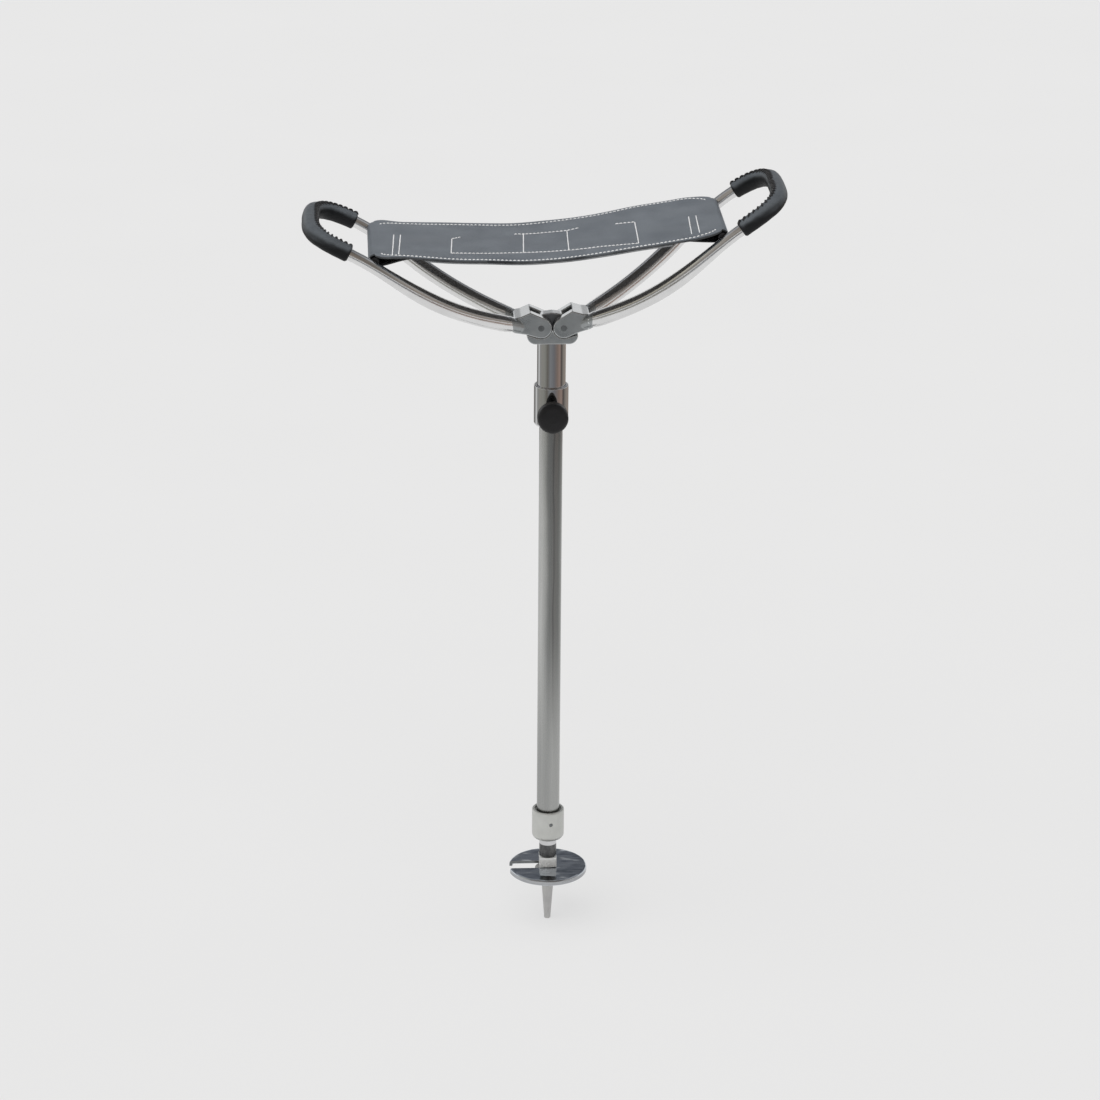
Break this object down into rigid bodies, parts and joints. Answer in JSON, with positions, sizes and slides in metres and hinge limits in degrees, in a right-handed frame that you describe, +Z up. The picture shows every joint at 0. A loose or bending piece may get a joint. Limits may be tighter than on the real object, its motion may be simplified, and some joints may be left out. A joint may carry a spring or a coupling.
{
  "type": "walking stick seat",
  "caption": "Walking stick that opens into a seat: ground spike with plate, telescoping shaft with clamp knob, and folding loop-handled arms carrying a leather sling.",
  "frame": {"origin": "centre of the spike's blunt tip", "axes": "+Z up along the stick, -Y to the front with the clamp knob, the arms open to -X and +X"},
  "size_m": [0.4672, 0.14, 0.7902],
  "materials": {
    "spike_steel": "matte grey steel",
    "plate_chrome": "mirror polished chrome",
    "hub_steel": "polished steel",
    "ferrule_aluminium": "satin cast aluminium",
    "tube_aluminium": "satin aluminium",
    "tube_chrome": "bright chrome",
    "pin_steel": "plain steel",
    "plug_plastic": "moulded grey plastic",
    "pad_brass": "plain brass",
    "knob_plastic": "satin black plastic",
    "head_aluminium": "polished cast aluminium",
    "arm_aluminium": "bright polished cast aluminium",
    "grip_leather": "black leather, sewn along its inner side",
    "seat_leather": "grey leather with black edges and white stitching",
    "seat_lining": "dark lining leather"
  },
  "bodies": {
    "lower_stick": {"spike": "spike_steel", "ground_plate": "plate_chrome", "foot_hub": "hub_steel", "ferrule": "ferrule_aluminium", "ferrule_pin": "pin_steel", "lower_tube": "tube_aluminium", "tube_plug": "plug_plastic"},
    "head": {"upper_tube": "tube_chrome", "clamp_collar": "tube_chrome", "hinge_head": "head_aluminium", "head_pin": "pin_steel", "left_hinge_pin": "pin_steel", "right_hinge_pin": "pin_steel"},
    "clamp_pad": {"pressure_pad": "pad_brass"},
    "clamp_knob": {"clamp_screw": "pin_steel", "clamp_knob": "knob_plastic"},
    "left_arm": {"left_arm": "arm_aluminium", "left_grip": "grip_leather", "left_sling_bar": "pin_steel"},
    "right_arm": {"right_arm": "arm_aluminium", "right_grip": "grip_leather", "right_sling_bar": "pin_steel"},
    "left_sling": {"seat_leather_left": "seat_leather", "seat_lining_left": "seat_lining"},
    "right_sling": {"seat_leather_right": "seat_leather", "seat_lining_right": "seat_lining"}
  },
  "joints": [
    {"name": "height_slide", "type": "slide", "parent": "lower_stick", "child": "head", "axis": [0, 0, 1], "range_m": [-0.0195, 0.02]},
    {"name": "clamp_release", "type": "slide", "parent": "head", "child": "clamp_pad", "axis": [0, -1, 0], "range_m": [0, 0.003]},
    {"name": "knob_turn", "type": "hinge", "parent": "clamp_pad", "child": "clamp_knob", "pos_m": [0, -0.0291, 0.559], "axis": [0, -1, 0], "range_deg": [0, 720]},
    {"name": "left_arm_fold", "type": "hinge", "parent": "head", "child": "left_arm", "pos_m": [-0.011, 0, 0.6456], "axis": [0, 1, 0], "range_deg": [0, 64], "deforming": ["seat_leather_left", "seat_lining_left", "seat_leather_right", "seat_lining_right"]},
    {"name": "right_arm_fold", "type": "hinge", "parent": "head", "child": "right_arm", "pos_m": [0.011, 0, 0.6456], "axis": [0, -1, 0], "range_deg": [0, 56]},
    {"name": "left_sling_hang", "type": "hinge", "parent": "left_arm", "child": "left_sling", "pos_m": [-0.17248, 0, 0.72775], "axis": [0, 1, 0], "range_deg": [0, 25.4]},
    {"name": "right_sling_hang", "type": "hinge", "parent": "right_arm", "child": "right_sling", "pos_m": [0.15947, 0, 0.74942], "axis": [0, -1, 0], "range_deg": [0, 26]}
  ],
  "couplings": [
    {"joint": "knob_turn", "follows": "clamp_release", "rad_per_m": 4188.8},
    {"joint": "right_arm_fold", "follows": "left_arm_fold", "ratio": 0.8749},
    {"joint": "left_sling_hang", "follows": "left_arm_fold", "ratio": 0.3968},
    {"joint": "right_sling_hang", "follows": "left_arm_fold", "ratio": 0.4062}
  ]
}
